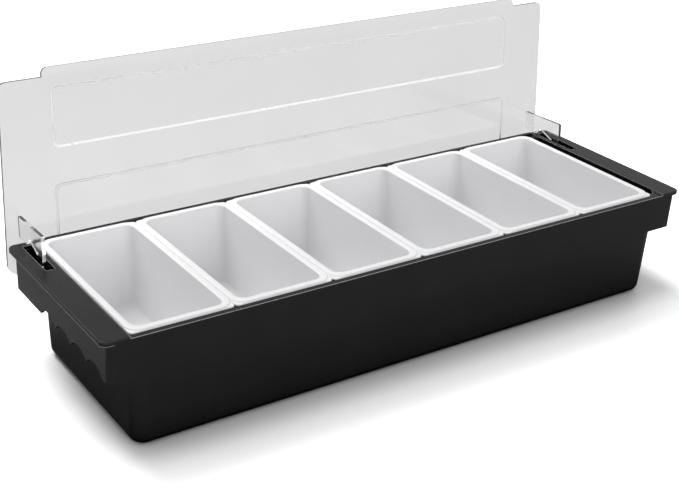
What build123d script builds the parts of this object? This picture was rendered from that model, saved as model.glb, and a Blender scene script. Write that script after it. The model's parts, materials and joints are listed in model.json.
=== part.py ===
from build123d import *
from math import acos, atan2, cos, hypot, radians, sin, sqrt, tan
import os

# A bar garnish tray: a moulded tub, a lid hinged at the back and a row of lift-out inserts.
# Frame: X along the length, the front towards -Y, +Z up.
# The origin is the centre of the tub's underside. All sizes are in millimetres, angles in degrees.

# Inserts
insert_count = 6
insert_width = 74.4
insert_length = 152.0
insert_gap = 0.35
insert_wall = 1.6
insert_floor = 1.8
insert_draft = 2.5
insert_body_corner = 8.0
insert_floor_round = 6.5
rim_width = 5.0
rim_thickness = 2.0
rim_corner = 9.5
rim_edge_round = 0.8

# Well and ledges
row_slack = 8.85
row_start_gap = 0.9
ledge_strip = 4.5
ledge_bearing = 2.6
ledge_drop = 1.0
ice_space = 17.8
insert_side_clearance = 0.4

# Base body
tray_height = 85.8
base_floor = 3.0
tub_end_wall = 2.6
front_wall_at_floor = 2.9
front_draft = 4.53
tub_end_draft = 1.2
tub_corner = 10.0
tub_floor_round = 7.0
well_corner = 7.0
well_floor_round = 5.0

# Deck and hand skirts
end_deck_length = 19.4
end_overhang = 4.6
deck_thickness = 3.0
deck_corner = 5.5
deck_edge_round = 0.8
skirt_depth = 31.0
skirt_wall = 2.3
skirt_flare = 0.8
skirt_corner = 5.0

# Finger scallops in the lower edge of the skirts
scallop_count = 4
scallop_pitch = 25.1
scallop_rise = 6.0
scallop_front_margin = 11.5

# Hinge
pin_setback = 12.8
pin_drop = 17.15
pin_radius = 2.5
pin_play = 0.1
pin_length = 4.0
pin_tip_chamfer = 0.6
boss_radius = 5.5
boss_gap = 0.55
bore_end_gap = 0.5
eye_radius = 5.5
hinge_clearance = 0.7

# Lid panel
lid_lean = 1.95
lid_side_margin = 3.0
lid_side_taper = 1.15
lid_front_margin = 16.9
lid_tail = 10.4
lid_thickness = 2.5
lid_top_corner = 5.0
lid_bottom_corner = 8.5

# Raised panels on the lid's outer face, recessed on its inner face
panel_side_margin = 38.9
panel_end_margin = 9.2
panel_middle_band = 28.4
upper_panel_height = 43.1
panel_rise = 1.0
panel_corner = 4.0

# Grip tab along the lid's free edge
tab_inset = 34.0
tab_length = 6.8
tab_bend = 8.0
tab_corner = 6.0

# Lid wings
wing_inset = 15.4
wing_thickness = 2.5
wing_top = 33.6
wing_reach = 43.6
wing_corner = 1.6
leg_width = 9.6
leg_bend_below_deck = 2.0
leg_bend_round = 3.0
notch_height = 6.0
notch_setback = 3.9
notch_round = 1.5
foot_width = 14.4
foot_clearance = 0.25

# Slots in the deck for the wings
slot_side_gap = 0.35
slot_play = 0.2
slot_end_clearance = 0.6
slot_corner = 0.8

# One overrun for every cut and for solids that are fused into each other
overrun = 2.0

# How a box is placed that stands on its own origin
standing = (Align.CENTER, Align.CENTER, Align.MIN)

# Sizes that follow from the ones above
row_length = insert_count * insert_width + (insert_count - 1) * insert_gap
well_length = row_length + row_slack
tray_length = well_length + 2 * end_deck_length
tray_width = insert_length + 2 * ledge_strip
half_length = tray_length / 2
half_width = tray_width / 2
half_well = well_length / 2
deck_underside = tray_height - deck_thickness
ledge_level = tray_height - ledge_drop
rim_top = ledge_level + rim_thickness
insert_bottom = base_floor + ice_space
insert_inset = rim_width - insert_wall
skirt_bottom = tray_height - skirt_depth
skirt_half_length = half_length - end_overhang
pin_y = half_width - pin_setback
pin_z = tray_height - pin_drop
lid_offset = hypot(pin_setback, pin_drop) + hinge_clearance
lid_height = pin_y + half_width - lid_front_margin
lid_half_length = half_length - lid_side_margin
wing_inner = half_length - wing_inset
wing_outer = wing_inner + wing_thickness
wing_front = lid_offset - wing_reach
slot_inner = wing_inner - slot_side_gap
slot_outer = slot_inner + wing_thickness + pin_length + slot_play


def outer_half_width(z):
    """Half the tub's outside width at height z: one drafted plane from the floor to the deck."""
    return half_width - (tray_height - z) * tan(radians(front_draft))


def insert_end_inset(z):
    """How far an insert's outer wall stands in from its rim's edge at height z."""
    return insert_inset + (ledge_level - z) * tan(radians(insert_draft))


# The end wall of the well clears the first insert where the tub comes out under the skirt
well_half_at_skirt = half_well - row_start_gap - insert_end_inset(skirt_bottom) + insert_side_clearance
well_half_at_floor = well_half_at_skirt - (skirt_bottom - base_floor) * tan(radians(tub_end_draft))


def along_y(outline, reach):
    """Extrude an outline in X and Z to both sides of the middle plane."""
    face = Plane.XZ * make_face(Polyline(*outline, close=True))
    return extrude(face, reach, both=True)


def along_x(outline, reach):
    """Extrude an outline in Y and Z to both ends."""
    face = Plane.YZ * make_face(Polyline(*outline, close=True))
    return extrude(face, reach, both=True)


def mirrored(half_outline):
    """Close a list of points on the positive side with its mirror image."""
    return half_outline + [(-x, z) for x, z in reversed(half_outline)]


def upright_edges(solid):
    """The edges that rise more than they run."""
    return solid.edges().filter_by(lambda edge: abs((edge @ 1 - edge @ 0).normalized().Z) > 1 / sqrt(2))


def both_ends(solid):
    """A solid at the right-hand end and its mirror image at the left."""
    return solid + mirror(solid, about=Plane.YZ)


def front_envelope(bottom, top, inset):
    """The space between the drafted front and back planes, moved inwards by an inset."""
    half_outline = [(outer_half_width(bottom) - inset, bottom), (outer_half_width(top) - inset, top)]
    return along_x(mirrored(half_outline), tray_length)


def tub_outside():
    """The tub below the deck: straight under the skirts, flared to the well's mouth above."""
    draft = skirt_bottom * tan(radians(tub_end_draft))
    bottom_half = well_half_at_skirt + tub_end_wall - draft
    lower_outline = [(bottom_half, 0), (bottom_half + draft, skirt_bottom)]
    lower = along_y(mirrored(lower_outline), tray_width) & front_envelope(0, skirt_bottom, 0)
    lower = fillet(upright_edges(lower), tub_corner)
    lower = fillet(lower.edges().group_by(Axis.Z)[0], tub_floor_round)
    upper_outline = [
        (well_half_at_skirt + tub_end_wall, skirt_bottom),
        (half_well + tub_end_wall, deck_underside),
    ]
    upper = along_y(mirrored(upper_outline), tray_width) & front_envelope(skirt_bottom, deck_underside, 0)
    return lower + upper


def skirt_block(inset, bottom, corner):
    """The outside of the skirts, or with an inset their hollow, from a given level up to the deck."""
    flare = (deck_underside - bottom) * tan(radians(skirt_flare))
    top_half = skirt_half_length - inset
    outline = [(top_half + flare, bottom), (top_half, deck_underside)]
    block = along_y(mirrored(outline), tray_width) & front_envelope(bottom, deck_underside, inset)
    return fillet(upright_edges(block), corner)


def deck_plate():
    """The deck that closes the top, with rounded corners and a soft top edge."""
    outline = [(half_length, deck_underside), (half_length, tray_height)]
    plate = along_y(mirrored(outline), tray_width) & front_envelope(deck_underside, tray_height, 0)
    plate = fillet(upright_edges(plate), deck_corner)
    return fillet(plate.edges().group_by(Axis.Z)[-1], deck_edge_round)


def well_space():
    """The inside of the tub, open at the top."""
    end_outline = [
        (well_half_at_floor, base_floor),
        (well_half_at_skirt, skirt_bottom),
        (half_well, ledge_level),
    ]
    top_half = half_width - ledge_strip - ledge_bearing
    floor_half = outer_half_width(base_floor) - front_wall_at_floor
    side_outline = [(floor_half, base_floor), (top_half, ledge_level)]
    space = along_y(mirrored(end_outline), tray_width) & along_x(mirrored(side_outline), tray_length)
    space = fillet(upright_edges(space), well_corner)
    space = fillet(space.edges().group_by(Axis.Z)[0], well_floor_round)
    mouth = Box(well_length, tray_width + 2 * overrun, ledge_drop + overrun, align=standing)
    return space + Pos(0, 0, ledge_level) * mouth


def scallop_arches():
    """The arches for the fingers, cut along X through both skirts."""
    half_pitch = scallop_pitch / 2
    radius = (half_pitch ** 2 + scallop_rise ** 2) / (2 * scallop_rise)
    first = scallop_front_margin + half_pitch - half_width
    centre_z = skirt_bottom + scallop_rise - radius
    arches = [
        Pos(0, first + step * scallop_pitch, centre_z) * Rot(0, 90, 0) * Cylinder(radius, tray_length)
        for step in range(scallop_count)
    ]
    tub_half = well_half_at_skirt + tub_end_wall
    middle = Box(2 * tub_half, tray_width, tray_height, align=standing)
    return Part() + arches - middle


def wing_path_radius():
    """How far the wing's front corner reaches from the hinge pin as the lid turns."""
    return hypot(wing_front + wing_corner, wing_top - wing_corner) + wing_corner


def deck_slot():
    """The slot at the right-hand end that the wing turns through."""
    under_deck = pin_drop - deck_thickness
    front_end = pin_y - sqrt(wing_path_radius() ** 2 - under_deck ** 2) - slot_end_clearance
    back_end = pin_y + eye_radius + slot_end_clearance
    slot = Box(slot_outer - slot_inner, back_end - front_end, deck_thickness + 2 * overrun)
    slot = fillet(slot.edges().filter_by(Axis.Z), slot_corner)
    middle_z = tray_height - deck_thickness / 2
    return Pos((slot_inner + slot_outer) / 2, (front_end + back_end) / 2, middle_z) * slot


def cylinder_along_x(radius, start, end):
    """A cylinder on the hinge axis between two places along X."""
    turned = Rot(0, 90, 0) * Cylinder(radius, end - start)
    return Pos((start + end) / 2, pin_y, pin_z) * turned


def tub_base():
    """The tub with its deck, skirts, slots and pin bearings, as one moulding."""
    skirts = skirt_block(0, skirt_bottom, skirt_corner)
    hollow = skirt_block(skirt_wall, skirt_bottom - overrun, skirt_corner - skirt_wall)
    boss_face = wing_inner - boss_gap
    pin_tip = wing_inner - pin_length
    boss = cylinder_along_x(boss_radius, well_half_at_floor, boss_face)
    bore = cylinder_along_x(pin_radius + pin_play, pin_tip - bore_end_gap, boss_face + overrun)
    shell = skirts - hollow + tub_outside() + deck_plate() + both_ends(boss)
    return shell - well_space() - both_ends(deck_slot()) - both_ends(bore) - scallop_arches()


def lid_sheet(margin, bottom, top, front, back):
    """A plate whose sides follow the lid's own tapered sides, further in by a margin."""
    taper = tan(radians(lid_side_taper))
    lower_half = lid_half_length - margin - (bottom + lid_tail) * taper
    upper_half = lid_half_length - margin - (top + lid_tail) * taper
    outline = mirrored([(lower_half, bottom), (upper_half, top)])
    return Pos(0, (front + back) / 2, 0) * along_y(outline, (back - front) / 2)


def sheet(width, bottom, top, front, back):
    """A plate that stands behind the hinge axis, in the lid's own frame."""
    plate = Box(width, back - front, top - bottom)
    return Pos(0, (front + back) / 2, (bottom + top) / 2) * plate


def round_corners(plate, level, radius):
    """Round the two corners of a standing plate at its lowest (0) or highest (-1) level."""
    edges = plate.edges().filter_by(Axis.Y).group_by(Axis.Z)[level]
    return fillet(edges, radius)


def lid_panel():
    """The lid's sheet with two rectangles pressed outwards."""
    inner = lid_offset
    outer = lid_offset + lid_thickness
    panel = lid_sheet(0, -lid_tail, lid_height, inner, outer)
    panel = round_corners(panel, 0, lid_bottom_corner)
    panel = round_corners(panel, -1, lid_top_corner)
    upper_top = lid_height - panel_end_margin
    upper_bottom = upper_top - upper_panel_height
    lower_bottom = panel_end_margin - lid_tail
    lower_top = upper_bottom - panel_middle_band
    step = panel_rise
    for bottom, top in ((lower_bottom, lower_top), (upper_bottom, upper_top)):
        raised = lid_sheet(panel_side_margin, bottom, top, inner + step, outer + step)
        raised = fillet(raised.edges().filter_by(Axis.Y), panel_corner)
        recess = lid_sheet(panel_side_margin + step, bottom + step, top - step, inner - overrun, inner + step)
        recess = fillet(recess.edges().filter_by(Axis.Y), panel_corner - step)
        panel = panel + raised - recess
    return panel


def lid_tab():
    """The narrow grip tab along the free edge, bent slightly outwards."""
    width = 2 * (lid_half_length - tab_inset)
    tab = sheet(width, -overrun, tab_length, 0, lid_thickness)
    tab = round_corners(tab, -1, tab_corner)
    root = sheet(width, -overrun, 0, -lid_thickness, lid_thickness)
    tab = Rot(-tab_bend, 0, 0) * tab
    return Pos(0, lid_offset, lid_height) * (tab - root + sheet(width, -overrun, 0, 0, lid_thickness))


def deck_line(y):
    """Height of the deck, with the foot's clearance, at a place in the leaning lid's own frame."""
    lean = radians(lid_lean)
    return (pin_drop + foot_clearance + y * sin(lean)) / cos(lean)


def eye_tangent(y, z, side):
    """Where a line from a point touches the eye round the pin, on its +1 or -1 side."""
    angle = atan2(z, y) + side * acos(eye_radius / hypot(y, z))
    return (eye_radius * cos(angle), eye_radius * sin(angle))


def nearest_corner(sketch, point):
    """The corner of a sketch that lies at a point."""
    return sketch.vertices().sort_by_distance(Vector(*point))[0]


def wing_outline():
    """The wing's outline in the lid's own frame: stop foot, notch, leg and the eye for the pin."""
    root = lid_offset + lid_thickness / 2
    leg_back = wing_front + leg_width
    bend = (wing_front, deck_line(wing_front) - leg_bend_below_deck)
    leg_end = (leg_back, deck_line(leg_back))
    foot_front = lid_offset - foot_width
    notch = (foot_front - notch_setback, deck_line(foot_front) + notch_height)
    top_front = (wing_front, wing_top)
    points = [
        (root, wing_top),
        top_front,
        bend,
        eye_tangent(*bend, 1),
        eye_tangent(*leg_end, -1),
        leg_end,
        notch,
        (foot_front, deck_line(foot_front)),
        (root, deck_line(root)),
    ]
    outline = make_face(Polyline(*points, close=True))
    outline = fillet(nearest_corner(outline, top_front), wing_corner)
    outline = fillet(nearest_corner(outline, bend), leg_bend_round)
    outline = fillet(nearest_corner(outline, notch), notch_round)
    return outline + Circle(eye_radius)


def lid_wing():
    """The right-hand wing with its hinge pin, which points inwards."""
    wing = Pos(wing_inner, 0, 0) * extrude(Plane.YZ * wing_outline(), wing_thickness)
    pin = Cylinder(pin_radius, pin_length + wing_thickness)
    pin = chamfer(pin.edges().group_by(Axis.Z)[0], pin_tip_chamfer)
    pin = Pos((wing_inner - pin_length + wing_outer) / 2, 0, 0) * Rot(0, 90, 0) * pin
    return wing + pin


def hinged_lid():
    """The whole lid in its open pose, leaning back on its feet."""
    upright = lid_panel() + lid_tab() + both_ends(lid_wing())
    return Pos(0, pin_y, pin_z) * Rot(-lid_lean, 0, 0) * upright


def tapered_cup(half_x, half_y, top, bottom, corner, floor_round):
    """A solid with drafted sides, its half sizes given at the top."""
    shrink = (top - bottom) * tan(radians(insert_draft))
    end_outline = [(half_x - shrink, bottom), (half_x, top)]
    side_outline = [(half_y - shrink, bottom), (half_y, top)]
    cup = along_y(mirrored(end_outline), insert_length) & along_x(mirrored(side_outline), insert_length)
    cup = fillet(upright_edges(cup), corner)
    return fillet(cup.edges().group_by(Axis.Z)[0], floor_round)


def insert_cup():
    """One insert, centred over the origin: a drafted cup under a flat rim."""
    half_x = insert_width / 2
    half_y = insert_length / 2
    outside = tapered_cup(
        half_x - insert_inset,
        half_y - insert_inset,
        ledge_level,
        insert_bottom,
        insert_body_corner,
        insert_floor_round,
    )
    rim = Box(insert_width, insert_length, rim_thickness, align=standing)
    rim = fillet(rim.edges().filter_by(Axis.Z), rim_corner)
    rim = fillet(rim.edges().group_by(Axis.Z)[-1], rim_edge_round)
    slope = tan(radians(insert_draft))
    inside = tapered_cup(
        half_x - rim_width + rim_thickness * slope,
        half_y - rim_width + rim_thickness * slope,
        rim_top,
        insert_bottom + insert_floor,
        insert_body_corner - insert_wall,
        insert_floor_round - insert_wall,
    )
    return outside + Pos(0, 0, ledge_level) * rim - inside


def insert_place(index):
    """Where an insert stands along the row, counted from the left."""
    start = row_start_gap - half_well + insert_width / 2
    return Pos(start + index * (insert_width + insert_gap), 0, 0)


def write_parts():
    """Write each piece to its own file."""
    os.makedirs("parts", exist_ok=True)
    pieces = {"tub_base": tub_base(), "hinged_lid": hinged_lid()}
    cup = insert_cup()
    for index in range(insert_count):
        pieces[f"insert_{index + 1}"] = insert_place(index) * cup
    for name, piece in pieces.items():
        export_step(piece, f"parts/{name}.step")


write_parts()
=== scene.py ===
import json
from math import acos, atan2, cos, hypot, radians, sin, tan

import bmesh
import bpy
from mathutils import Matrix, Vector


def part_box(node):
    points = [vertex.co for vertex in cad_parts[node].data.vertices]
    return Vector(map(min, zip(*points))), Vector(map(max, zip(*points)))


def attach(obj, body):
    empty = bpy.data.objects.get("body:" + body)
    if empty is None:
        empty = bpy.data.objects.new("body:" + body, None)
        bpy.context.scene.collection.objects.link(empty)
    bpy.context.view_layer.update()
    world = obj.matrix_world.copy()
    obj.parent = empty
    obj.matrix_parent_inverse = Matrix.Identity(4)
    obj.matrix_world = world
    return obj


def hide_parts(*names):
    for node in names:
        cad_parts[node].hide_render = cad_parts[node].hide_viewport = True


bl_info = {
    "name": "Bar Garnish Tray",
    "version": (1, 0, 0),
    "blender": (4, 5, 0),
    "location": "View3D > Sidebar > Garnish Tray",
    "description": "Dresses the moulded tray, its clear hinged lid and its six lift-out inserts",
    "category": "Object",
}

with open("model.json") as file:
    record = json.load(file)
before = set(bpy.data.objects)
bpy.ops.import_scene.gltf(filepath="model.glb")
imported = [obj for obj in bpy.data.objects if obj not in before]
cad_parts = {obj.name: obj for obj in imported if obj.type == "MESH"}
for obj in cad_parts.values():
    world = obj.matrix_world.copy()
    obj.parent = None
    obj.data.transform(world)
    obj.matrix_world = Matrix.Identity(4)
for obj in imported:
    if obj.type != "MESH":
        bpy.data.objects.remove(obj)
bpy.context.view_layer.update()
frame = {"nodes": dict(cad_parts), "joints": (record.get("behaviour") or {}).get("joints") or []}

INSERTS = [f"insert_{index}" for index in range(1, 7)]
SENSOR_WIDTH_MM = 36

# Half the lid's length, at its hinged edge.
HALF_LID = Vector(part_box("hinged_lid")[1]).x

# Clear plastic bends light this much, and lets this share of each colour through to the lid's shadow.
CLEAR_PLASTIC_IOR = 1.49
LIGHT_THROUGH_LID = (0.93, 0.93, 0.93, 1)

# Most noise lies between these two values.
NOISE_LOW = 0.3
NOISE_HIGH = 0.7

# Depth of the fine grain on the mouldings.
GRAIN_DEPTH = 0.00002

# Nearer than this, two places are one, and two points are welded.
SAME_PLACE = 1e-6
WELD = 1e-5

# Edges sharper than these are shaded as sharp, and rounded on the rims and the lid.
SHADED_ANGLE = radians(42)
RIM_ANGLE = radians(60)
LID_ANGLE = radians(50)

# The ways to the lamps, from the tray.
TOP_LAMPS = ((-0.14, 0.12, 1.0), (-0.14, 0.55, 1.0), (-0.14, 1.05, 1.0))
FRONT_LAMP = (-0.05, -0.95, 0.2)


# Materials

class Recipe:
    """The nodes of a new material or world."""

    def __init__(self, owner, output="ShaderNodeOutputMaterial"):
        owner.use_nodes = True
        self.owner = owner
        self.tree = owner.node_tree
        self.tree.nodes.clear()
        self.output = self.add(output)

    def add(self, kind, inputs=None, **settings):
        """A node with its settings. Each input is a value or another node's output."""
        node = self.tree.nodes.new(kind)
        for name, value in settings.items():
            setattr(node, name, value)
        for name, value in (inputs or {}).items():
            if isinstance(value, bpy.types.NodeSocket):
                self.tree.links.new(value, node.inputs[name])
            else:
                node.inputs[name].default_value = value
        return node

    def finish(self, shader):
        """Show a shader, and return the finished material or world."""
        self.tree.links.new(shader, self.output.inputs["Surface"])
        return self.owner

    def place(self):
        """The place on the part, in the part's own frame."""
        return self.add("ShaderNodeTexCoord").outputs["Object"]

    def noise(self, scale, detail, roughness=0.5, stretch=(1, 1, 1)):
        """Noise in the part's own frame, its scale per metre."""
        mapping = self.add("ShaderNodeMapping", {"Vector": self.place(), "Scale": stretch})
        noise = self.add("ShaderNodeTexNoise", {
            "Vector": mapping.outputs["Vector"], "Scale": scale, "Detail": detail, "Roughness": roughness})
        return noise.outputs["Fac"]

    def spread(self, source, low, high, start=NOISE_LOW, end=NOISE_HIGH):
        """Turn a pattern into a range of numbers."""
        node = self.add("ShaderNodeMapRange", {
            "Value": source, "From Min": start, "From Max": end, "To Min": low, "To Max": high})
        return node.outputs["Result"]

    def between(self, source, dark, light):
        """Turn noise into a range of colours."""
        ramp = self.add("ShaderNodeValToRGB", {"Fac": source})
        stops = ((NOISE_LOW, dark), (NOISE_HIGH, light))
        for element, (position, colour) in zip(ramp.color_ramp.elements, stops):
            element.position = position
            element.color = (*colour, 1)
        return ramp.outputs["Color"]

    def calculate(self, operation, *numbers, **settings):
        """Work a number out of numbers and patterns."""
        node = self.add("ShaderNodeMath", dict(enumerate(numbers)), operation=operation, **settings)
        return node.outputs["Value"]

    def scaled(self, colour, factor):
        """A colour times a number."""
        node = self.add("ShaderNodeVectorMath", {0: colour, "Scale": factor}, operation="SCALE")
        return node.outputs["Vector"]

    def openness(self, reach, samples):
        """White in the open and darker in corners, as seen within a reach."""
        return self.add("ShaderNodeAmbientOcclusion", {"Distance": reach}, samples=samples).outputs["AO"]

    def edge_mask(self, reach):
        """White along the edges, within a reach, and black on the flats."""
        rounded = self.add("ShaderNodeBevel", {"Radius": reach}, samples=6).outputs["Normal"]
        true = self.add("ShaderNodeNewGeometry").outputs["Normal"]
        facing = self.add("ShaderNodeVectorMath", {0: rounded, 1: true}, operation="DOT_PRODUCT")
        return self.spread(facing.outputs["Value"], low=1, high=0, start=0.85, end=0.985)

    def relief(self, source, depth, strength, under=None):
        """A bump of a given depth in metres, laid over another one."""
        bump = self.add("ShaderNodeBump", {"Height": source, "Distance": depth, "Strength": strength})
        if under is not None:
            self.tree.links.new(under, bump.inputs["Normal"])
        return bump.outputs["Normal"]

    def plastic(self, inputs):
        return self.add("ShaderNodeBsdfPrincipled", inputs).outputs["BSDF"]

    def mixed(self, share, first, second):
        """Two shaders, with the second one's share given by a number or pattern."""
        return self.add("ShaderNodeMixShader", {"Fac": share, 1: first, 2: second}).outputs["Shader"]

    def pass_shadow(self, shader):
        """The shader, but clear to the lamps' light."""
        passing = self.add("ShaderNodeBsdfTransparent", {"Color": LIGHT_THROUGH_LID})
        rays = self.add("ShaderNodeLightPath").outputs
        return self.mixed(rays["Is Shadow Ray"], shader, passing.outputs["BSDF"])


def times(colour, factor):
    return [channel * factor for channel in colour]


def moulded_black(finish):
    """Black plastic from a finely grained mould, with a satin sheen, a painted highlight along the deck's
    edges and painted shade in its hollows.
    """
    recipe = Recipe(bpy.data.materials.new("moulded_black"))
    cloud = recipe.noise(scale=26, detail=4, roughness=0.6)
    plain = recipe.between(cloud, times(finish.base_colour, 0.93), times(finish.base_colour, 1.08))
    # Painted highlight: a light grey is mixed into the colour along the edges near the deck's top,
    # standing in for light caught by the rounded edges.
    height = recipe.add("ShaderNodeSeparateXYZ", {"Vector": recipe.place()}).outputs["Z"]
    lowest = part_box("tub_base")[1][2] - finish.edge_highlight_band
    on_deck = recipe.spread(height, low=0, high=1, start=lowest, end=lowest + finish.edge_highlight_fade)
    painted_highlight = recipe.calculate("MULTIPLY", recipe.edge_mask(finish.edge_highlight_reach), on_deck)
    highlit = recipe.add("ShaderNodeMix", {
        "Factor": painted_highlight, "A": plain, "B": (*finish.edge_highlight_colour, 1)}, data_type="RGBA")
    # Painted shade: the colour is darkened in the tub's hollows, such as under its skirts.
    openness = recipe.openness(finish.hollow_shade_reach, samples=6)
    hollow = recipe.spread(openness, low=0.1, high=1, start=0.35, end=0.7)
    handling = recipe.noise(scale=75, detail=5, roughness=0.62)
    least = finish.base_roughness - finish.base_unevenness
    most = finish.base_roughness + finish.base_unevenness
    waves = recipe.relief(recipe.noise(scale=18, detail=1), depth=0.0004, strength=0.2)
    grain = recipe.noise(scale=1 / finish.grain_size, detail=2, roughness=0.55)
    return recipe.finish(recipe.plastic({
        "Base Color": recipe.scaled(highlit.outputs["Result"], hollow),
        "Roughness": recipe.spread(handling, least, most),
        "Specular IOR Level": 0.12,
        "Normal": recipe.relief(grain, GRAIN_DEPTH, strength=0.2, under=waves),
    }))


def moulded_white(finish):
    """Glossy white plastic of the inserts."""
    recipe = Recipe(bpy.data.materials.new("moulded_white"))
    cloud = recipe.noise(scale=22, detail=3, roughness=0.55)
    handling = recipe.noise(scale=90, detail=5, roughness=0.6)
    waves = recipe.relief(recipe.noise(scale=24, detail=1), depth=0.0003, strength=0.3)
    grain = recipe.noise(scale=1800, detail=2)
    return recipe.finish(recipe.plastic({
        "Base Color": recipe.between(cloud, times(finish.insert_colour, 0.975), finish.insert_colour),
        "Roughness": recipe.spread(handling, low=0.3, high=0.34),
        "Specular IOR Level": 0.45,
        "Normal": recipe.relief(grain, GRAIN_DEPTH, strength=0.3, under=waves),
    }))


def clear_plastic(finish):
    """Clear, slightly smoky plastic of the lid, with faint scratches and smears."""
    recipe = Recipe(bpy.data.materials.new("clear_plastic"))
    cloud = recipe.noise(scale=9, detail=3)
    smears = recipe.noise(scale=38, detail=6, roughness=0.65, stretch=(1, 1, 2.2))
    haze = finish.lid_roughness
    waves = recipe.relief(recipe.noise(scale=14, detail=1), depth=0.0003, strength=0.25)
    scratches = recipe.noise(scale=420, detail=3, roughness=0.6, stretch=(0.06, 1, 1))
    return recipe.finish(recipe.pass_shadow(recipe.plastic({
        "Base Color": recipe.between(cloud, times(finish.lid_tint, 0.97), finish.lid_tint),
        "Roughness": recipe.spread(smears, haze, haze + finish.lid_smears, start=0.35, end=0.75),
        "Transmission Weight": 1.0,
        "IOR": CLEAR_PLASTIC_IOR,
        "Normal": recipe.relief(scratches, depth=0.00001, strength=0.06, under=waves),
    })))


def narrow_face(name, clearness, greys, haze):
    """Clear plastic of the lid's narrow faces, with its two greys and its range of haze."""
    recipe = Recipe(bpy.data.materials.new(name))
    dark, light = ((grey, grey, grey) for grey in greys)
    return recipe.finish(recipe.pass_shadow(recipe.plastic({
        "Base Color": recipe.between(recipe.noise(scale=140, detail=3), dark, light),
        "Roughness": recipe.spread(recipe.noise(scale=300, detail=3), *haze),
        "Transmission Weight": clearness,
        "IOR": CLEAR_PLASTIC_IOR,
    })))


def polished_edge():
    """The lid's cut faces, clearer than its handled sheet."""
    return narrow_face("polished_edge", clearness=1.0, greys=(0.95, 1.0), haze=(0.04, 0.1))


def frosted_step(finish):
    """The slopes round the lid's pressed panels, which catch the light."""
    return narrow_face("frosted_step", finish.step_clearness, greys=(0.9, 0.97), haze=(0.25, 0.4))


def pale_floor(stage):
    """A pale floor that shows white to the camera, with the tray's shadow deepened by painted shade near
    the tray, and painted darker beside the tray where the plastic mirrors it.
    """
    recipe = Recipe(bpy.data.materials.new("pale_floor"))
    rays = recipe.add("ShaderNodeLightPath").outputs
    # Painted shade: near the tray the floor is darkened to the camera, deepening its contact shadow, and
    # darkened where the plastic mirrors it.
    openness = recipe.openness(stage.contact_reach, samples=8)
    contact = recipe.calculate("POWER", openness, stage.contact_depth)
    gain = recipe.calculate("MULTIPLY_ADD", contact, stage.floor_gain, -1)
    seen = recipe.calculate("MULTIPLY_ADD", rays["Is Camera Ray"], gain, 1)
    beside = recipe.calculate("POWER", openness, stage.reflection_depth)
    loss = recipe.calculate("MULTIPLY_ADD", beside, stage.floor_in_reflections, -1)
    glossy = recipe.calculate(
        "SUBTRACT", rays["Is Glossy Ray"], rays["Is Transmission Ray"], use_clamp=True)
    brightness = recipe.calculate("MULTIPLY_ADD", glossy, loss, seen)
    cloud = recipe.between(
        recipe.noise(scale=3, detail=2), times(stage.floor_colour, 0.995), stage.floor_colour)
    return recipe.finish(recipe.plastic({
        "Base Color": recipe.scaled(cloud, brightness),
        "Roughness": 0.28,
        "Specular IOR Level": 0.25,
    }))


def pale_surroundings(stage):
    """A world that lights the tray evenly, with a bright backdrop that is seen and mirrored."""
    recipe = Recipe(bpy.data.worlds.new("pale_surroundings"), "ShaderNodeOutputWorld")
    rays = recipe.add("ShaderNodeLightPath").outputs
    seen = recipe.calculate("MAXIMUM", rays["Is Camera Ray"], rays["Is Transmission Ray"])
    mirrored = recipe.calculate("MULTIPLY", rays["Is Glossy Ray"], stage.backdrop_in_reflections)
    sky = recipe.add("ShaderNodeBackground", {"Strength": stage.sky_strength}).outputs["Background"]
    backdrop = recipe.add("ShaderNodeBackground").outputs["Background"]
    return recipe.finish(recipe.mixed(recipe.calculate("MAXIMUM", seen, mirrored), sky, backdrop))


# Settings

def number_setting(name, description, default, low, high, **kind):
    return bpy.props.FloatProperty(
        name=name, description=description, default=default, min=low, max=high, **kind)


def share_setting(name, description, default):
    return number_setting(name, description, default, 0, 1, subtype="FACTOR")


def length_setting(name, description, default, low, high):
    return number_setting(name, description, default, low, high, subtype="DISTANCE", unit="LENGTH")


def angle_setting(name, description, default, low, high):
    return number_setting(name, description, default, low, high, subtype="ANGLE")


def vector_setting(name, description, default, **kind):
    return bpy.props.FloatVectorProperty(
        name=name, description=description, default=default, size=len(default), **kind)


def colour_setting(name, description, default):
    return vector_setting(name, description, default, subtype="COLOR", min=0, max=1)


class TrayFinish(bpy.types.PropertyGroup):
    """Colours and surface finish of the three plastics."""

    base_colour: colour_setting("Base colour", "Colour of the black tub", (0.014, 0.0143, 0.015))
    base_roughness: share_setting("Base roughness", "How dull the tub's grained surface is", 0.23)
    base_unevenness: share_setting("Base unevenness", "How much the tub's dullness varies", 0.015)
    grain_size: length_setting(
        "Grain size", "Size of the mould's grain on the tub", 0.0006, 0.0001, 0.005)
    # The next four settings place the painted highlight along the deck's edges.
    edge_highlight_colour: colour_setting("Edge colour", "Colour of the tub's rubbed edges", (0.39, 0.39, 0.395))
    edge_highlight_reach: length_setting(
        "Edge reach", "How far from an edge the tub is rubbed lighter", 0.001, 0.0001, 0.01)
    edge_highlight_band: length_setting(
        "Edge band", "How far under the deck the edges are rubbed", 0.005, 0.0001, 0.1)
    edge_highlight_fade: length_setting(
        "Edge fade", "Height over which the rubbing fades out", 0.001, 0.0001, 0.1)
    # Painted shade in the tub's hollows.
    hollow_shade_reach: length_setting(
        "Hollow reach", "How wide a hollow of the tub is darkened", 0.045, 0.001, 0.5)
    insert_colour: colour_setting("Insert colour", "Colour of the lift-out inserts", (0.9, 0.9, 0.91))
    lid_tint: colour_setting(
        "Lid tint", "Colour that the clear lid gives to what is behind it", (0.93, 0.93, 0.932))
    lid_roughness: share_setting("Lid haze", "How much the lid blurs what is behind it", 0.1)
    lid_smears: share_setting("Lid smears", "How much more the lid blurs where it is smeared", 0.06)
    step_clearness: share_setting(
        "Step clearness", "How clear the slopes round the lid's panels are", 0.3)


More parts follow.
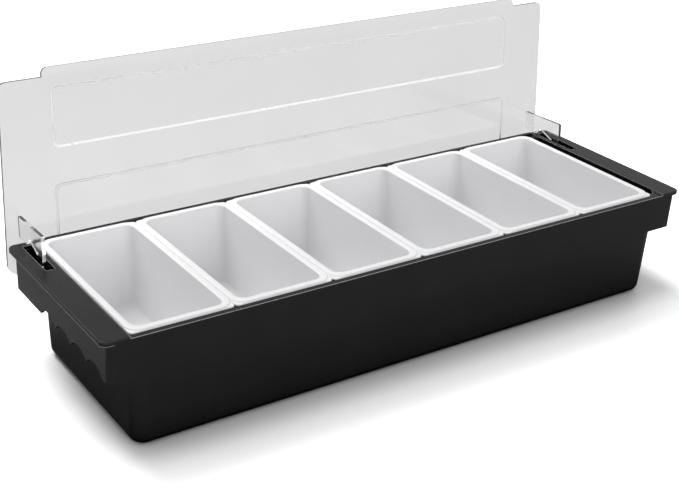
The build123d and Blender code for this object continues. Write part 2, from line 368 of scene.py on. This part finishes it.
class TrayStage(bpy.types.PropertyGroup):
    """The floor, the light and the camera."""

    floor_reach: length_setting("Floor reach", "From the tray to the floor's edge", 30, 1, 100)
    floor_colour: colour_setting("Floor colour", "Colour of the pale floor", (0.86, 0.86, 0.86))
    floor_gain: number_setting(
        "Floor gain", "How much lighter the floor shows to the camera than it is", 2.1, 1, 3)
    # These settings set the painted shade on the floor: the deepened contact shadow and the darker floor
    # in the plastic's reflections.
    contact_reach: length_setting(
        "Contact reach", "How far from the tray its contact shadow is deepened", 0.07, 0.001, 1)
    contact_depth: number_setting(
        "Contact depth", "How much the contact shadow is deepened", 0.5, 0, 3)
    floor_in_reflections: share_setting(
        "Floor in reflections", "How bright the floor is where the plastic mirrors it", 0.45)
    reflection_depth: number_setting(
        "Reflection depth", "How much darker the plastic mirrors the floor beside it", 12, 0, 20)
    backdrop_in_reflections: share_setting(
        "Backdrop in reflections", "How much of the bright backdrop the plastic mirrors", 0.75)
    sky_strength: number_setting("Sky strength", "Even light from all around", 0.36, 0, 5)
    top_light: number_setting(
        "Top light", "Strength of each part of the long soft lamp above the tray", 0.72, 0, 20)
    top_spread: angle_setting(
        "Top spread", "Width of each part of the lamp above the tray", radians(21), 0, radians(180))
    front_light: number_setting(
        "Front light", "Strength of the wide fill lamp in front of the tray", 1.3, 0, 20)
    front_spread: angle_setting(
        "Front spread", "Width of the fill lamp", radians(36), 0, radians(180))
    focal_length: number_setting(
        "Focal length", "Focal length of the camera in millimetres", 70.87, 10, 300)
    camera_place: vector_setting(
        "Camera place", "Where the camera stands", (-0.52712, -0.74525, 0.48729),
        subtype="TRANSLATION", unit="LENGTH")
    camera_yaw: angle_setting("Camera yaw", "Turn to the right from straight back", 0.59731, -4, 4)
    camera_pitch: angle_setting("Camera pitch", "How far the camera looks down", 0.37249, -2, 2)
    camera_roll: angle_setting("Camera roll", "Tilt of the picture", -0.03451, -4, 4)
    camera_shift: vector_setting(
        "Camera shift", "Shift of the picture, as a share of its width", (-0.00925, -0.12245))


class TraySizes(bpy.types.PropertyGroup):
    """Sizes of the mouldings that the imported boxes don't give."""

    insert_wall: length_setting("Insert wall", "Wall of an insert", 0.0016, 0.0005, 0.01)
    insert_floor: length_setting("Insert floor", "Floor of an insert", 0.0018, 0.0005, 0.01)
    insert_draft: angle_setting(
        "Insert draft", "Slope of an insert's walls", radians(2.5), 0, radians(20))
    insert_corner: length_setting(
        "Insert corner", "Upright corners outside an insert", 0.008, 0.002, 0.03)
    insert_floor_round: length_setting(
        "Insert floor rounding", "Where the walls meet the floor outside", 0.0065, 0.002, 0.03)
    rim_width: length_setting("Rim width", "Flat rim round an insert", 0.005, 0.001, 0.02)
    rim_thickness: length_setting("Rim thickness", "Thickness of the rim", 0.002, 0.001, 0.01)
    rim_corner: length_setting(
        "Rim corner", "Corners of the rim seen from above", 0.0095, 0.002, 0.03)
    rim_edge: length_setting(
        "Rim edge", "Rounding of the rim's inner and outer edges", 0.0009, 0.0002, 0.002)
    flange_corner: length_setting(
        "Flange corner", "Corners of the thin flange under the rim's bead", 0.003, 0.001, 0.02)
    flange_thickness: length_setting(
        "Flange thickness", "Thickness of the flange under the bead", 0.0009, 0.0003, 0.005)
    bead_inset: length_setting(
        "Bead inset", "How far the bead stands in from the flange's edge", 0.0003, 0.0001, 0.003)
    lip_height: length_setting(
        "Lip height", "How far the lip behind the inserts stands over their ledge", 0.0019, 0.0005, 0.005)
    lip_setback: length_setting("Lip setback", "From the tub's back edge to the lip", 0.0008, 0, 0.005)
    lip_gap: length_setting(
        "Lip gap", "Room between the lip and the inserts' rims", 0.0003, 0.0001, 0.005)
    lip_overreach: length_setting(
        "Lip overreach", "How far the lip reaches past the row of inserts", 0.001, 0, 0.01)
    lip_edge: length_setting("Lip edge", "Rounding of the lip's edges", 0.0005, 0.0001, 0.002)
    lid_thickness: length_setting("Lid thickness", "Thickness of the clear sheet", 0.0025, 0.001, 0.01)
    lid_lean: angle_setting(
        "Lid lean", "How far the open lid leans back", radians(1.95), 0, radians(20))
    lid_taper: angle_setting("Lid taper", "Slope of the lid's two ends", radians(1.15), 0, radians(10))
    lid_offset: length_setting(
        "Lid offset", "From the hinge pin back to the lid's sheet", 0.02209, 0.005, 0.05)
    lid_tail: length_setting(
        "Lid tail", "How far the open lid's sheet reaches below the hinge pin", 0.0104, 0.002, 0.05)
    lid_top: length_setting(
        "Lid top", "How far the open lid's sheet reaches above the hinge pin", 0.1313, 0.02, 0.5)
    lid_bottom_corner: length_setting(
        "Lid bottom corner", "Corners at the sheet's hinged edge", 0.0085, 0.0005, 0.03)
    lid_top_corner: length_setting(
        "Lid top corner", "Corners at the sheet's free edge", 0.005, 0.0005, 0.03)
    lid_edge: length_setting("Lid edge", "Rounding of the lid's cut edges", 0.00035, 0.0001, 0.001)
    panel_margin: length_setting(
        "Panel margin", "From the lid's end to its two raised panels", 0.0389, 0.005, 0.1)
    panel_end_margin: length_setting(
        "Panel end margin", "From the sheet's long edges to the panels", 0.0092, 0.001, 0.1)
    panel_middle_band: length_setting(
        "Panel middle band", "From one panel to the other", 0.0284, 0.001, 0.1)
    upper_panel_height: length_setting(
        "Upper panel height", "Height of the panel next to the tab", 0.0431, 0.01, 0.2)
    panel_corner: length_setting("Panel corner", "Corners of the panels", 0.004, 0.0005, 0.03)
    panel_rise: length_setting(
        "Panel rise", "How far the panels are pressed out of the sheet", 0.001, 0.0002, 0.003)
    panel_slope: length_setting("Panel slope", "Width of the slope round a panel", 0.0011, 0.0001, 0.005)
    tab_inset: length_setting("Tab inset", "From the lid's end to the grip tab", 0.034, 0.005, 0.2)
    tab_length: length_setting(
        "Tab length", "How far the grip tab stands out of the lid's free edge", 0.0067, 0.002, 0.03)
    tab_bend: angle_setting("Tab bend", "How far the grip tab is bent back", radians(8), 0, radians(45))
    tab_bend_run: length_setting(
        "Tab bend run", "Length of each short step in the tab's bend", 0.0004, 0.0001, 0.003)
    tab_corner: length_setting("Tab corner", "Corners of the grip tab", 0.0048, 0.0005, 0.02)
    wing_thickness: length_setting(
        "Wing thickness", "Thickness of the lid's two wings", 0.0025, 0.001, 0.01)
    wing_inset: length_setting(
        "Wing inset", "From the lid's end to the inner face of its wing", 0.0124, 0.005, 0.05)
    wing_reach: length_setting(
        "Wing reach", "From the sheet to the wing's front edge", 0.0436, 0.01, 0.1)
    wing_top: length_setting("Wing top", "How far the wing reaches above the pin", 0.0336, 0.01, 0.1)
    wing_root_share: share_setting(
        "Wing root share", "How far the wing goes into the sheet, of its thickness", 0.6)
    wing_corner: length_setting("Wing corner", "The wing's front top corner", 0.0016, 0.0002, 0.01)
    pin_drop: length_setting("Pin drop", "From the deck down to the hinge pin", 0.01715, 0.005, 0.05)
    pin_radius: length_setting("Pin radius", "Radius of the hinge pin", 0.0025, 0.0005, 0.01)
    pin_length: length_setting("Pin length", "How far the pin points inwards", 0.004, 0.001, 0.02)
    eye_radius: length_setting("Eye radius", "Round end of the leg, about the pin", 0.0055, 0.001, 0.02)
    leg_width: length_setting("Leg width", "The leg where it leaves the wing", 0.0096, 0.002, 0.03)
    leg_bend_below_deck: length_setting(
        "Leg bend", "How far below the deck the leg turns to the pin", 0.002, 0, 0.01)
    leg_bend_round: length_setting("Leg bend rounding", "Rounding of that turn", 0.003, 0.0005, 0.01)
    foot_width: length_setting("Foot width", "Stop foot, from the sheet forwards", 0.0144, 0.002, 0.05)
    foot_clearance: length_setting(
        "Foot clearance", "Room between the foot and the deck", 0.00025, 0, 0.002)
    notch_setback: length_setting(
        "Notch setback", "From the foot forwards to the notch's end", 0.0039, 0.0005, 0.02)
    notch_height: length_setting(
        "Notch height", "Height of the notch between leg and foot", 0.006, 0.001, 0.02)
    notch_round: length_setting("Notch rounding", "Rounding of the notch's end", 0.0015, 0.0002, 0.01)


# Pieces

def paint(node, material):
    """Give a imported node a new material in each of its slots."""
    for slot in node.material_slots:
        slot.material = material


def is_level(edge, height):
    return all(abs(vert.co.z - height) < SAME_PLACE for vert in edge.verts)


def open_edges(bm, height):
    """The open edges of a mesh at one height."""
    return [edge for edge in bm.edges if edge.is_boundary and is_level(edge, height)]


def round_edges(bm, edges, radius, segments, affect="EDGES"):
    bmesh.ops.bevel(
        bm, geom=edges, offset=radius, offset_type="OFFSET", affect=affect,
        segments=segments, profile=0.5, material=-1, clamp_overlap=True)


def round_corners(bm, verts, radius, segments):
    """Round corners of a flat outline."""
    round_edges(bm, verts, radius, segments, affect="VERTICES")


def add_mesh(bm, other):
    """Put another bmesh's faces into this one."""
    carrier = bpy.data.meshes.new("carrier")
    other.to_mesh(carrier)
    other.free()
    bm.from_mesh(carrier)
    bpy.data.meshes.remove(carrier)


def drafted_cup(bm, half, top, bottom, draft, corner, floor_round):
    """A cup that is open at the top, with drafted walls, its half sizes given at the top."""
    middle = (top + bottom) / 2
    verts = bmesh.ops.create_cube(bm, size=1)["verts"]
    bmesh.ops.scale(bm, vec=(2 * half.x, 2 * half.y, top - bottom), verts=verts)
    bmesh.ops.translate(bm, vec=(0, 0, middle), verts=verts)
    shrink = (top - bottom) * tan(draft)
    foot = [vert for vert in verts if vert.co.z < middle]
    bmesh.ops.scale(bm, vec=(1 - shrink / half.x, 1 - shrink / half.y, 1), verts=foot)
    upright = [edge for edge in bm.edges if not is_level(edge, top) and not is_level(edge, bottom)]
    round_edges(bm, upright, corner, segments=8)
    round_edges(bm, [edge for edge in bm.edges if is_level(edge, bottom)], floor_round, segments=6)
    cover = [face for face in bm.faces if all(is_level(edge, top) for edge in face.edges)]
    bmesh.ops.delete(bm, geom=cover, context="FACES_ONLY")
    return open_edges(bm, top)


def rounded_loop(bm, half, height, corner):
    """The open outline of a rectangle with rounded corners, at a height."""
    verts = bmesh.ops.create_grid(bm, x_segments=1, y_segments=1, size=1)["verts"]
    bmesh.ops.scale(bm, vec=(half.x, half.y, 1), verts=verts)
    aside = height + 1
    bmesh.ops.translate(bm, vec=(0, 0, aside), verts=verts)
    round_corners(bm, verts, corner, segments=8)
    face = next(face for face in bm.faces if all(is_level(edge, aside) for edge in face.edges))
    edges = list(face.edges)
    bmesh.ops.translate(bm, vec=(0, 0, height - aside), verts=face.verts)
    bmesh.ops.delete(bm, geom=[face], context="FACES_ONLY")
    return edges


def drawn_out(bm, edges, way):
    """Draw a row of edges out into a wall. Returns the wall's far edges and their points."""
    grown = bmesh.ops.extrude_edge_only(bm, edges=edges)["geom"]
    verts = [item for item in grown if isinstance(item, bmesh.types.BMVert)]
    bmesh.ops.translate(bm, vec=way, verts=verts)
    new_edges = [item for item in grown if isinstance(item, bmesh.types.BMEdge)]
    return [edge for edge in new_edges if all(vert in verts for vert in edge.verts)], verts


def new_object(bm, name):
    """Turn a bmesh into an object of the scene."""
    mesh = bpy.data.meshes.new(name)
    bm.to_mesh(mesh)
    bm.free()
    made = bpy.data.objects.new(name, mesh)
    bpy.context.scene.collection.objects.link(made)
    return made


def finish_mesh(bm, name, body, material, replaced=None):
    """Turn a bmesh into a piece of its body, shaded smoothly between its sharp edges."""
    for face in bm.faces:
        face.smooth = True
    for edge in bm.edges:
        edge.smooth = not edge.is_manifold or edge.calc_face_angle(0) < SHADED_ANGLE
    piece = new_object(bm, name)
    piece.data.materials.append(material)
    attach(piece, body)
    if replaced:
        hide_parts(replaced)
    return piece


def joined_mesh(carrier, others, thickness):
    """A sheet given its thickness and fused with solids, as a new bmesh."""
    solid = carrier.modifiers.new("thickness", "SOLIDIFY")
    solid.thickness = thickness
    solid.offset = -1
    solid.use_even_offset = True
    for other in others:
        union = carrier.modifiers.new("join", "BOOLEAN")
        union.operation = "UNION"
        union.solver = "EXACT"
        union.object = other
    shown = carrier.evaluated_get(bpy.context.evaluated_depsgraph_get())
    result = bmesh.new()
    result.from_mesh(shown.to_mesh())
    shown.to_mesh_clear()
    for item in (carrier, *others):
        bpy.data.objects.remove(item)
    bmesh.ops.remove_doubles(result, verts=result.verts, dist=WELD)
    return result


def even_shading(piece):
    weighted = piece.modifiers.new("even_shading", "WEIGHTED_NORMAL")
    weighted.keep_sharp = True
    weighted.weight = 50


class TRAY_OT_mould_base(bpy.types.Operator):
    """Finish the black tub with its deck and hand skirts"""

    bl_idname = "tray.mould_base"
    bl_label = "Mould the Base"

    def execute(self, context):
        black = moulded_black(context.scene.tray_finish)
        paint(frame["nodes"]["tub_base"], black)
        finish_mesh(self.back_lip(context.scene.tray_sizes), "back_lip", "base", black)
        return {"FINISHED"}

    def back_lip(self, sizes):
        """The low lip on the ledge behind the inserts, level with their rims."""
        insert_low, insert_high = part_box(INSERTS[0])
        ledge = insert_high[2] - sizes.rim_thickness
        front = insert_high[1] + sizes.lip_gap
        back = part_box("tub_base")[1][1] - sizes.lip_setback
        bottom = ledge - sizes.lip_edge
        top = ledge + sizes.lip_height
        reach = sizes.lip_overreach - insert_low[0]
        bm = bmesh.new()
        verts = bmesh.ops.create_cube(bm, size=1)["verts"]
        bmesh.ops.scale(bm, vec=(2 * reach, back - front, top - bottom), verts=verts)
        bmesh.ops.translate(bm, vec=(0, (front + back) / 2, (top + bottom) / 2), verts=verts)
        round_edges(bm, bm.edges[:], sizes.lip_edge, segments=3)
        return bm


class TRAY_OT_mould_inserts(bpy.types.Operator):
    """Finish the six white inserts"""

    bl_idname = "tray.mould_inserts"
    bl_label = "Mould the Inserts"

    def execute(self, context):
        white = moulded_white(context.scene.tray_finish)
        for name in INSERTS:
            insert = self.insert(context.scene.tray_sizes, name)
            even_shading(finish_mesh(insert, f"{name}_cup", name, white, name))
        return {"FINISHED"}

    def insert(self, sizes, name):
        """One insert where it stands: two cups in one another, joined by the rim."""
        low, high = (Vector(corner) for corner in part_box(name))
        half = (high - low) / 2
        seat = high.z - sizes.rim_thickness
        flange_top = seat + sizes.flange_thickness
        inside = half - Vector((sizes.rim_width, sizes.rim_width, 0))
        bm = bmesh.new()
        mouth = drafted_cup(
            bm, inside, high.z, low.z + sizes.insert_floor, sizes.insert_draft,
            sizes.insert_corner - sizes.insert_wall, sizes.insert_floor_round - sizes.insert_wall)
        bead_half = half - Vector((sizes.bead_inset, sizes.bead_inset, 0))
        bead = rounded_loop(bm, bead_half, high.z, sizes.rim_corner)
        bmesh.ops.bridge_loops(bm, edges=mouth + bead)
        bead_height = sizes.rim_thickness - sizes.flange_thickness
        bead_foot, _ = drawn_out(bm, bead, (0, 0, -bead_height))
        flange = rounded_loop(bm, half, flange_top, sizes.flange_corner)
        bmesh.ops.bridge_loops(bm, edges=bead_foot + flange)
        drawn_out(bm, flange, (0, 0, -sizes.flange_thickness))
        overlap = Vector((1, 1, 0)) * (sizes.insert_wall - sizes.rim_thickness * tan(sizes.insert_draft))
        outer = bmesh.new()
        drafted_cup(
            outer, inside + overlap, seat, low.z, sizes.insert_draft,
            sizes.insert_corner, sizes.insert_floor_round)
        bmesh.ops.reverse_faces(outer, faces=outer.faces)
        add_mesh(bm, outer)
        bmesh.ops.bridge_loops(bm, edges=open_edges(bm, seat))
        bmesh.ops.recalc_face_normals(bm, faces=bm.faces)
        round_edges(bm, self.rim_edges(bm, high.z), sizes.rim_edge, segments=4)
        step = [edge for edge in self.rim_edges(bm, flange_top) if edge.is_convex]
        round_edges(bm, step, sizes.flange_thickness / 4, segments=2)
        middle = (low + high) / 2
        bmesh.ops.translate(bm, vec=(middle.x, middle.y, 0), verts=bm.verts)
        return bm

    def rim_edges(self, bm, height):
        """The rim's sharp edges at a height."""
        level = [edge for edge in bm.edges if is_level(edge, height)]
        return [edge for edge in level if edge.calc_face_angle(0) > RIM_ANGLE]


class TRAY_OT_mould_lid(bpy.types.Operator):
    """Finish the clear hinged lid"""

    bl_idname = "tray.mould_lid"
    bl_label = "Mould the Lid"

    # A face looks the way of its sheet or wing by a share, from 0 for a cut face to 1 for a flat one.
    # Under the first share it is polished, and under the second one, on the sheet, frosted.
    CUT_FACE = 0.4
    SLOPE = 0.9
    # A face belongs to the sheet when its middle is less than this in front of it.
    SHEET_SKIN = 0.0002
    # The tab bends in this many short steps.
    BEND_STEPS = 4

    def execute(self, context):
        sizes = context.scene.tray_sizes
        finish = context.scene.tray_finish
        sheet = self.sheet(sizes)
        bmesh.ops.rotate(sheet, matrix=Matrix.Rotation(radians(90), 3, "X"), verts=sheet.verts)
        bmesh.ops.translate(sheet, vec=(0, sizes.lid_offset, 0), verts=sheet.verts)
        wings = [new_object(shape, "wing") for side in (-1, 1) for shape in self.wing_shapes(sizes, side)]
        whole = joined_mesh(new_object(sheet, "sheet"), wings, sizes.lid_thickness)
        self.mark_cut_faces(sizes, whole)
        hinge = next(joint for joint in frame["joints"] if joint["name"] == "lid_hinge")
        stand = Matrix.Translation(hinge["pos_m"]) @ Matrix.Rotation(-sizes.lid_lean, 4, "X")
        bmesh.ops.transform(whole, matrix=stand, verts=whole.verts)
        lid = finish_mesh(whole, "clear_lid", "lid", clear_plastic(finish), "hinged_lid")
        lid.data.materials.append(polished_edge())
        lid.data.materials.append(frosted_step(finish))
        edges = lid.modifiers.new("soft_edges", "BEVEL")
        edges.width = sizes.lid_edge
        edges.segments = 2
        edges.limit_method = "ANGLE"
        edges.angle_limit = LID_ANGLE
        even_shading(lid)
        return {"FINISHED"}

    def mark_cut_faces(self, sizes, bm):
        """Give cut faces the second material and the slopes round the panels the third."""
        bm.normal_update()
        for face in bm.faces:
            on_sheet = face.calc_center_median().y > sizes.lid_offset - self.SHEET_SKIN
            across = abs(face.normal.y if on_sheet else face.normal.x)
            face.material_index = 0
            if across < self.CUT_FACE:
                face.material_index = 1
            elif on_sheet and across < self.SLOPE:
                face.material_index = 2

    def plate(self, bm, sizes, margin, bottom, top, columns=1):
        """A flat face that follows the lid's tapered ends, drawn lying down."""
        verts = bmesh.ops.create_grid(bm, x_segments=columns, y_segments=1, size=1)["verts"]
        for vert in verts:
            height = top if vert.co.y > 0 else bottom
            half_width = HALF_LID - (height + sizes.lid_tail) * tan(sizes.lid_taper)
            vert.co.x *= half_width - margin
            vert.co.y = height
        return verts

    def sheet(self, sizes):
        """The lid's front face with its panels and tab, lying down with the tab away from the hinge."""
        bm = bmesh.new()
        tab_half = HALF_LID - sizes.tab_inset
        for vert in self.plate(bm, sizes, 0, -sizes.lid_tail, sizes.lid_top, columns=3):
            if abs(vert.co.x) < HALF_LID / 2:
                vert.co.x = tab_half if vert.co.x > 0 else -tab_half
        inner = [edge for edge in bm.edges if not edge.is_boundary]
        bmesh.ops.dissolve_edges(bm, edges=inner, use_verts=False)
        ends = [vert for vert in bm.verts if abs(vert.co.x) > tab_half + SAME_PLACE]
        top_ends = [vert for vert in ends if vert.co.y > 0]
        bottom_ends = [vert for vert in ends if vert.co.y < 0]
        round_corners(bm, bottom_ends, sizes.lid_bottom_corner, segments=10)
        round_corners(bm, top_ends, sizes.lid_top_corner, segments=8)
        bmesh.ops.delete(bm, geom=bm.faces[:], context="FACES_ONLY")
        border = bm.edges[:]
        upper_top = sizes.lid_top - sizes.panel_end_margin
        upper_bottom = upper_top - sizes.upper_panel_height
        lower_top = upper_bottom - sizes.panel_middle_band
        lower_bottom = sizes.panel_end_margin - sizes.lid_tail
        for bottom, top in ((lower_bottom, lower_top), (upper_bottom, upper_top)):
            corners = self.plate(bm, sizes, sizes.panel_margin, bottom, top)
            round_corners(bm, corners, sizes.panel_corner, segments=8)
        panels = bm.faces[:]
        round_panels = [edge for edge in bm.edges if edge not in border]
        bmesh.ops.triangle_fill(bm, use_beauty=True, edges=border + round_panels, normal=(0, 0, 1))
        bmesh.ops.recalc_face_normals(bm, faces=bm.faces)
        if panels[0].normal.z < 0:
            bmesh.ops.reverse_faces(bm, faces=bm.faces)
        high_edges = [edge for edge in border if all(vert.co.y > 0 for vert in edge.verts)]
        self.tab(bm, sizes, [edge for edge in high_edges if edge.calc_length() > tab_half])
        bmesh.ops.inset_individual(
            bm, faces=panels, thickness=sizes.panel_slope, depth=-sizes.panel_rise, use_even_offset=True)
        return bm

    def tab(self, bm, sizes, edges):
        """The grip tab: the sheet's edge drawn out in short steps that bend back."""
        runs = [sizes.tab_bend_run] * self.BEND_STEPS
        runs.append(sizes.tab_length - sum(runs))
        for step, run in enumerate(runs, start=1):
            bend = sizes.tab_bend * min(step, self.BEND_STEPS) / self.BEND_STEPS
            edges, verts = drawn_out(bm, edges, (0, run * cos(bend), -run * sin(bend)))
        round_corners(bm, verts, sizes.tab_corner, segments=8)

    def wing_shapes(self, sizes, side):
        """A wing, the eye at its leg's end and the pin, at the left (-1) or right (1) end."""
        eye = self.round_bar(sizes, sizes.eye_radius, 0)
        pin = self.round_bar(sizes, sizes.pin_radius, sizes.pin_length)
        shapes = (self.wing(sizes), eye, pin)
        if side < 0:
            for shape in shapes:
                bmesh.ops.scale(shape, vec=(-1, 1, 1), verts=shape.verts)
                bmesh.ops.reverse_faces(shape, faces=shape.faces)
        return shapes

    def deck_height(self, sizes, y):
        """Where the stop foot ends over the deck, in the leaning lid's own frame."""
        drop = sizes.pin_drop + sizes.foot_clearance
        return (drop + y * sin(sizes.lid_lean)) / cos(sizes.lid_lean)

    def touch_eye(self, sizes, point, turn):
        """Where a line from a point touches the eye, on one side (-1) or the other (1)."""
        angle = atan2(point[1], point[0]) + turn * acos(sizes.eye_radius / hypot(*point))
        return (sizes.eye_radius * cos(angle), sizes.eye_radius * sin(angle))

    def wing(self, sizes):
        """The right-hand wing with its stop foot, notch and leg. The pin's axis passes the origin."""
        front = sizes.lid_offset - sizes.wing_reach
        root = sizes.lid_offset + sizes.lid_thickness * sizes.wing_root_share
        bend = (front, self.deck_height(sizes, front) - sizes.leg_bend_below_deck)
        leg_back = front + sizes.leg_width
        leg_top = (leg_back, self.deck_height(sizes, leg_back))
        foot = sizes.lid_offset - sizes.foot_width
        foot_level = self.deck_height(sizes, foot)
        notch = (foot - sizes.notch_setback, foot_level + sizes.notch_height)
        points = [
            (root, sizes.wing_top), (front, sizes.wing_top), bend,
            self.touch_eye(sizes, bend, 1), self.touch_eye(sizes, leg_top, -1), leg_top,
            notch, (foot, foot_level), (root, self.deck_height(sizes, root)),
        ]
        bm = bmesh.new()
        verts = [bm.verts.new((0, y, z)) for y, z in points]
        bm.faces.new(verts)
        round_corners(bm, [verts[points.index((front, sizes.wing_top))]], sizes.wing_corner, segments=4)
        round_corners(bm, [verts[points.index(bend)]], sizes.leg_bend_round, segments=6)
        round_corners(bm, [verts[points.index(notch)]], sizes.notch_round, segments=4)
        grown = bmesh.ops.extrude_face_region(bm, geom=bm.faces[:])["geom"]
        moved = [item for item in grown if isinstance(item, bmesh.types.BMVert)]
        bmesh.ops.translate(bm, vec=(sizes.wing_thickness, 0, 0), verts=moved)
        bmesh.ops.translate(bm, vec=(HALF_LID - sizes.wing_inset, 0, 0), verts=bm.verts)
        bmesh.ops.recalc_face_normals(bm, faces=bm.faces)
        return bm

    def round_bar(self, sizes, radius, reach):
        """A round bar on the hinge axis, through the wing and inwards past it by a reach."""
        bm = bmesh.new()
        length = sizes.wing_thickness + reach
        bmesh.ops.create_cone(
            bm, cap_ends=True, segments=40, radius1=radius, radius2=radius, depth=length,
            matrix=Matrix.Rotation(radians(90), 4, "Y"))
        middle = HALF_LID - sizes.wing_inset - reach + length / 2
        bmesh.ops.translate(bm, vec=(middle, 0, 0), verts=bm.verts)
        return bm


def soft_lamp(name, direction, spread, strength):
    """A distant softbox that lights the whole floor evenly, given the way its light comes from."""
    lamp = bpy.data.lights.new(name, "SUN")
    lamp.angle = spread
    lamp.energy = strength
    lamp_object = bpy.data.objects.new(name, lamp)
    lamp_object.location = direction
    lamp_object.rotation_euler = Vector(direction).to_track_quat("Z", "Y").to_euler()
    bpy.context.scene.collection.objects.link(lamp_object)


class TRAY_OT_set_stage(bpy.types.Operator):
    """Lay the pale floor and set the light and the camera"""

    bl_idname = "tray.set_stage"
    bl_label = "Set the Stage"

    def execute(self, context):
        stage = context.scene.tray_stage
        bm = bmesh.new()
        bmesh.ops.create_grid(bm, x_segments=1, y_segments=1, size=stage.floor_reach)
        floor = new_object(bm, "floor")
        floor.data.materials.append(pale_floor(stage))
        context.scene.world = pale_surroundings(stage)
        for index, direction in enumerate(TOP_LAMPS, start=1):
            soft_lamp(f"top_lamp_{index}", direction, stage.top_spread, stage.top_light)
        soft_lamp("front_lamp", FRONT_LAMP, stage.front_spread, stage.front_light)
        self.place_camera(context, stage)
        context.scene.view_settings.view_transform = "Standard"
        return {"FINISHED"}

    def place_camera(self, context, stage):
        """The camera at the photograph's viewing angle."""
        yaw, pitch, roll = stage.camera_yaw, stage.camera_pitch, stage.camera_roll
        forward = Vector((sin(yaw) * cos(pitch), cos(yaw) * cos(pitch), -sin(pitch)))
        right = Vector((cos(yaw), -sin(yaw), 0))
        down = forward.cross(right)
        across = cos(roll) * right + sin(roll) * down
        downward = cos(roll) * down - sin(roll) * right
        lens = bpy.data.cameras.new("camera")
        lens.sensor_width = SENSOR_WIDTH_MM
        lens.lens = stage.focal_length
        lens.shift_x, lens.shift_y = stage.camera_shift
        lens.clip_start = 0.01
        lens.clip_end = 100
        camera = bpy.data.objects.new("camera", lens)
        turn = Matrix((across, -downward, -forward)).transposed().to_4x4()
        camera.matrix_world = Matrix.Translation(stage.camera_place) @ turn
        context.scene.collection.objects.link(camera)
        context.scene.camera = camera


class TRAY_PT_sidebar(bpy.types.Panel):
    """The tray's steps and settings"""

    bl_idname = "TRAY_PT_sidebar"
    bl_label = "Garnish Tray"
    bl_space_type = "VIEW_3D"
    bl_region_type = "UI"
    bl_category = "Garnish Tray"

    def draw(self, context):
        for operator in OPERATORS:
            self.layout.operator(operator.bl_idname)
        for name, kind in SETTINGS.items():
            column = self.layout.column()
            for setting in kind.__annotations__:
                column.prop(getattr(context.scene, name), setting)


SETTINGS = {"tray_sizes": TraySizes, "tray_finish": TrayFinish, "tray_stage": TrayStage}
OPERATORS = (
    TRAY_OT_mould_base,
    TRAY_OT_mould_inserts,
    TRAY_OT_mould_lid,
    TRAY_OT_set_stage,
)
CLASSES = (*SETTINGS.values(), *OPERATORS, TRAY_PT_sidebar)


def register():
    for item in CLASSES:
        bpy.utils.register_class(item)
    for name, kind in SETTINGS.items():
        setattr(bpy.types.Scene, name, bpy.props.PointerProperty(type=kind))


def unregister():
    for name in SETTINGS:
        delattr(bpy.types.Scene, name)
    for item in reversed(CLASSES):
        bpy.utils.unregister_class(item)


def plain(box):
    return [[float(value) for value in corner] for corner in box]


def main():
    register()
    bpy.ops.tray.set_stage()
    bpy.ops.tray.mould_base()
    bpy.ops.tray.mould_inserts()
    bpy.ops.tray.mould_lid()


if __name__ == "__main__":
    main()
